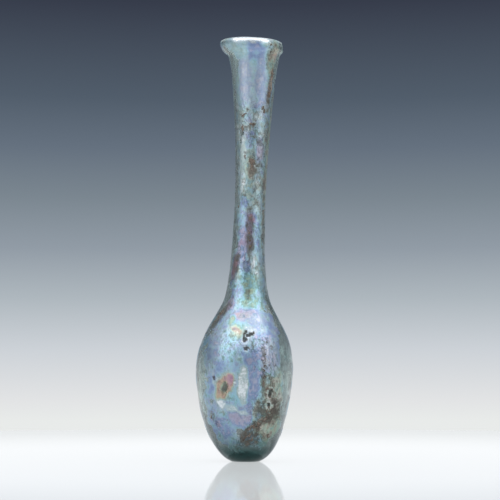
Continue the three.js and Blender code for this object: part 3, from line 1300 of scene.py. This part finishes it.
class FlaskShape(bpy.types.PropertyGroup):
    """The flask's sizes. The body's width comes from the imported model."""

    height: length("Height", "From the foot to the middle of the lip", 160 * MM)
    belly_height: length("Belly height", "Height of the widest point", 33.8 * MM)
    shoulder_height: length("Shoulder height", "Where the body turns into the neck", 59 * MM)
    waist_height: length("Waist height", "Where the neck is narrowest", 103 * MM)
    flare_depth: length("Flare depth", "From the lip's top down to where the neck flares", 5.8 * MM)
    foot_width: length("Foot width", "Width of the flat spot the flask stands on", 10.4 * MM)
    body_width: length("Body width", "Greatest width", FLASK_HIGH.y - FLASK_LOW.y)
    shoulder_width: length("Shoulder width", "Width at the shoulder", 19.1 * MM)
    waist_width: length("Waist width", "Width of the narrowest neck", 11.7 * MM)
    throat_width: length("Throat width", "Width where the flare starts", 19.4 * MM)
    rim_width: length("Rim width", "Width of the lip", 23.8 * MM)
    base_thickness: length("Base thickness", "Glass under the cavity", 6 * MM)
    body_wall: length("Body wall", "Wall of the body", 1.5 * MM)
    neck_wall: length("Neck wall", "Wall of the neck", 1.5 * MM)
    lip_thickness: length("Lip thickness", "Thickness of the rounded lip", 2.4 * MM)
    foot_offset: length("Foot offset", "How far the foot stands to the side of the body", 0.6 * MM)
    neck_lean: length("Neck lean", "How far the neck leans to the side", 3.9 * MM)
    rim_offset: length("Rim offset", "How far the lip stands back from the neck", 1.1 * MM)
    rim_dip: length("Rim dip", "How far the lip dips on the side that the neck leans to", 0.4 * MM)
    shoulder_slope: angle("Shoulder slope", "Slope of the outline at the shoulder", 0.466)
    throat_slope: angle("Throat slope", "Slope of the outline where the neck flares", 0.318)


class FlaskFinish(bpy.types.PropertyGroup):
    """Colours of the glass and of what lies on it."""

    glass_colour: colour("Glass", "Tint of the bare glass", (0.82, 0.93, 0.9))
    pearl_colour: colour("Pearl", "Silvery part of the film", (0.56, 0.63, 0.64))
    # Near-white film: pale flakes, and partly a painted highlight on the lip, the shoulder and the
    # belly's pale strips.
    lip_colour: colour("Lip", "Brightest film, on the lip and the shoulder", (0.92, 0.97, 1.0))
    # A painted shade: towards the bottom the glass takes on this dark green.
    base_colour: colour("Base", "Dark green of the thick base", (0.01, 0.07, 0.068))
    earth_colour: colour("Earth", "Dried earth on the glass", (0.165, 0.127, 0.1))
    depth_colour: colour("Depth", "Colour that light takes on in thick glass", (0.45, 0.62, 0.6))
    depth_density: amount("Depth density", "How fast light takes it on, per metre", 260)


class StudioLayout(bpy.types.PropertyGroup):
    """Where the camera stands and what the flask stands on."""

    camera_distance: length("Camera distance", "From the flask's axis to the camera", 0.75)
    camera_height: length("Camera height", "Height of the camera above the floor", 0.036)
    aim_side: length("Aim side", "Sideways place of the middle of the picture", 1.7 * MM)
    aim_height: length("Aim height", "Height of the middle of the picture", 80.1 * MM)
    frame_width: length("Frame width", "Width of the picture at the flask", 190.4 * MM)
    backdrop_radius: length("Backdrop radius", "From the flask to the round backdrop", 0.5)
    floor_radius: length("Floor radius", "Radius of the round white board", 0.38)
    floor_gap: length("Floor gap", "Gap under the foot, so that no two faces meet", 0.02 * MM)
    # The board's glow is a painted pool of light, brightest under the flask.
    floor_glow: amount("Floor glow", "How brightly the board glows under the flask", 1.4)
    edge_glow: amount("Edge glow", "How brightly the board glows at its edge", 0.88)
    floor_gloss: amount("Floor gloss", "Share of light that the board mirrors", 0.7, max=1)


class UNGUENTARIUM_OT_flask(bpy.types.Operator):
    """Blow the flask and weather its surface"""

    bl_idname = "unguentarium.flask"
    bl_label = "Blow flask"

    def execute(self, context):
        shape = context.scene.unguentarium_shape
        flask = blown_flask(shape)
        weather(flask.data, shape)
        flask.data.materials.append(weathered_glass(context.scene.unguentarium_finish))
        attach(flask, "root")
        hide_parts("glass_flask")
        return {"FINISHED"}


class UNGUENTARIUM_OT_earth(bpy.types.Operator):
    """Lay the dried earth on the outside and the inside"""

    bl_idname = "unguentarium.earth"
    bl_label = "Lay earth"

    def execute(self, context):
        earth = dried_earth(context.scene.unguentarium_finish)
        for name, layer in EARTH_LAYERS.items():
            piece = layer_on_wall(name, context.scene.unguentarium_shape, layer)
            if not piece.data.polygons:
                raise RuntimeError(f"{piece.name} came out empty")
            piece.data.materials.append(earth)
            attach(piece, "root")
        return {"FINISHED"}


class UNGUENTARIUM_OT_stage(bpy.types.Operator):
    """Set the floor, the backdrop, the soft lights and the camera"""

    bl_idname = "unguentarium.stage"
    bl_label = "Set stage"

    def execute(self, context):
        deselect_all()
        studio = context.scene.unguentarium_studio
        middle = Vector((0, 0, context.scene.unguentarium_shape.height / 2))
        pale_floor(studio)
        graded_backdrop(studio)
        pale_room()
        keep_off_floor([soft_light(box, middle) for box in SOFTBOXES])
        set_camera(studio)
        context.scene.view_settings.view_transform = "Standard"
        return {"FINISHED"}


class UNGUENTARIUM_PT_panel(bpy.types.Panel):
    """The flask's sizes, its finish and the studio, with a button for each step"""

    bl_idname = "UNGUENTARIUM_PT_panel"
    bl_label = "Unguentarium"
    bl_space_type = "VIEW_3D"
    bl_region_type = "UI"
    bl_category = "Unguentarium"

    def draw(self, context):
        layout = self.layout
        groups = (
            (context.scene.unguentarium_shape, (UNGUENTARIUM_OT_flask, UNGUENTARIUM_OT_earth)),
            (context.scene.unguentarium_finish, ()),
            (context.scene.unguentarium_studio, (UNGUENTARIUM_OT_stage,)),
        )
        for settings, operators in groups:
            box = layout.box()
            for name in settings.bl_rna.properties.keys():
                if name not in ("name", "rna_type"):
                    box.prop(settings, name)
            for operator in operators:
                box.operator(operator.bl_idname)


CLASSES = (
    FlaskShape,
    FlaskFinish,
    StudioLayout,
    UNGUENTARIUM_OT_flask,
    UNGUENTARIUM_OT_earth,
    UNGUENTARIUM_OT_stage,
    UNGUENTARIUM_PT_panel,
)


def register():
    for kind in CLASSES:
        bpy.utils.register_class(kind)
    bpy.types.Scene.unguentarium_shape = bpy.props.PointerProperty(type=FlaskShape)
    bpy.types.Scene.unguentarium_finish = bpy.props.PointerProperty(type=FlaskFinish)
    bpy.types.Scene.unguentarium_studio = bpy.props.PointerProperty(type=StudioLayout)


def unregister():
    del bpy.types.Scene.unguentarium_studio
    del bpy.types.Scene.unguentarium_finish
    del bpy.types.Scene.unguentarium_shape
    for kind in reversed(CLASSES):
        bpy.utils.unregister_class(kind)


def main():
    register()
    bpy.ops.unguentarium.flask()
    bpy.ops.unguentarium.earth()
    bpy.ops.unguentarium.stage()


if __name__ == "__main__":
    main()
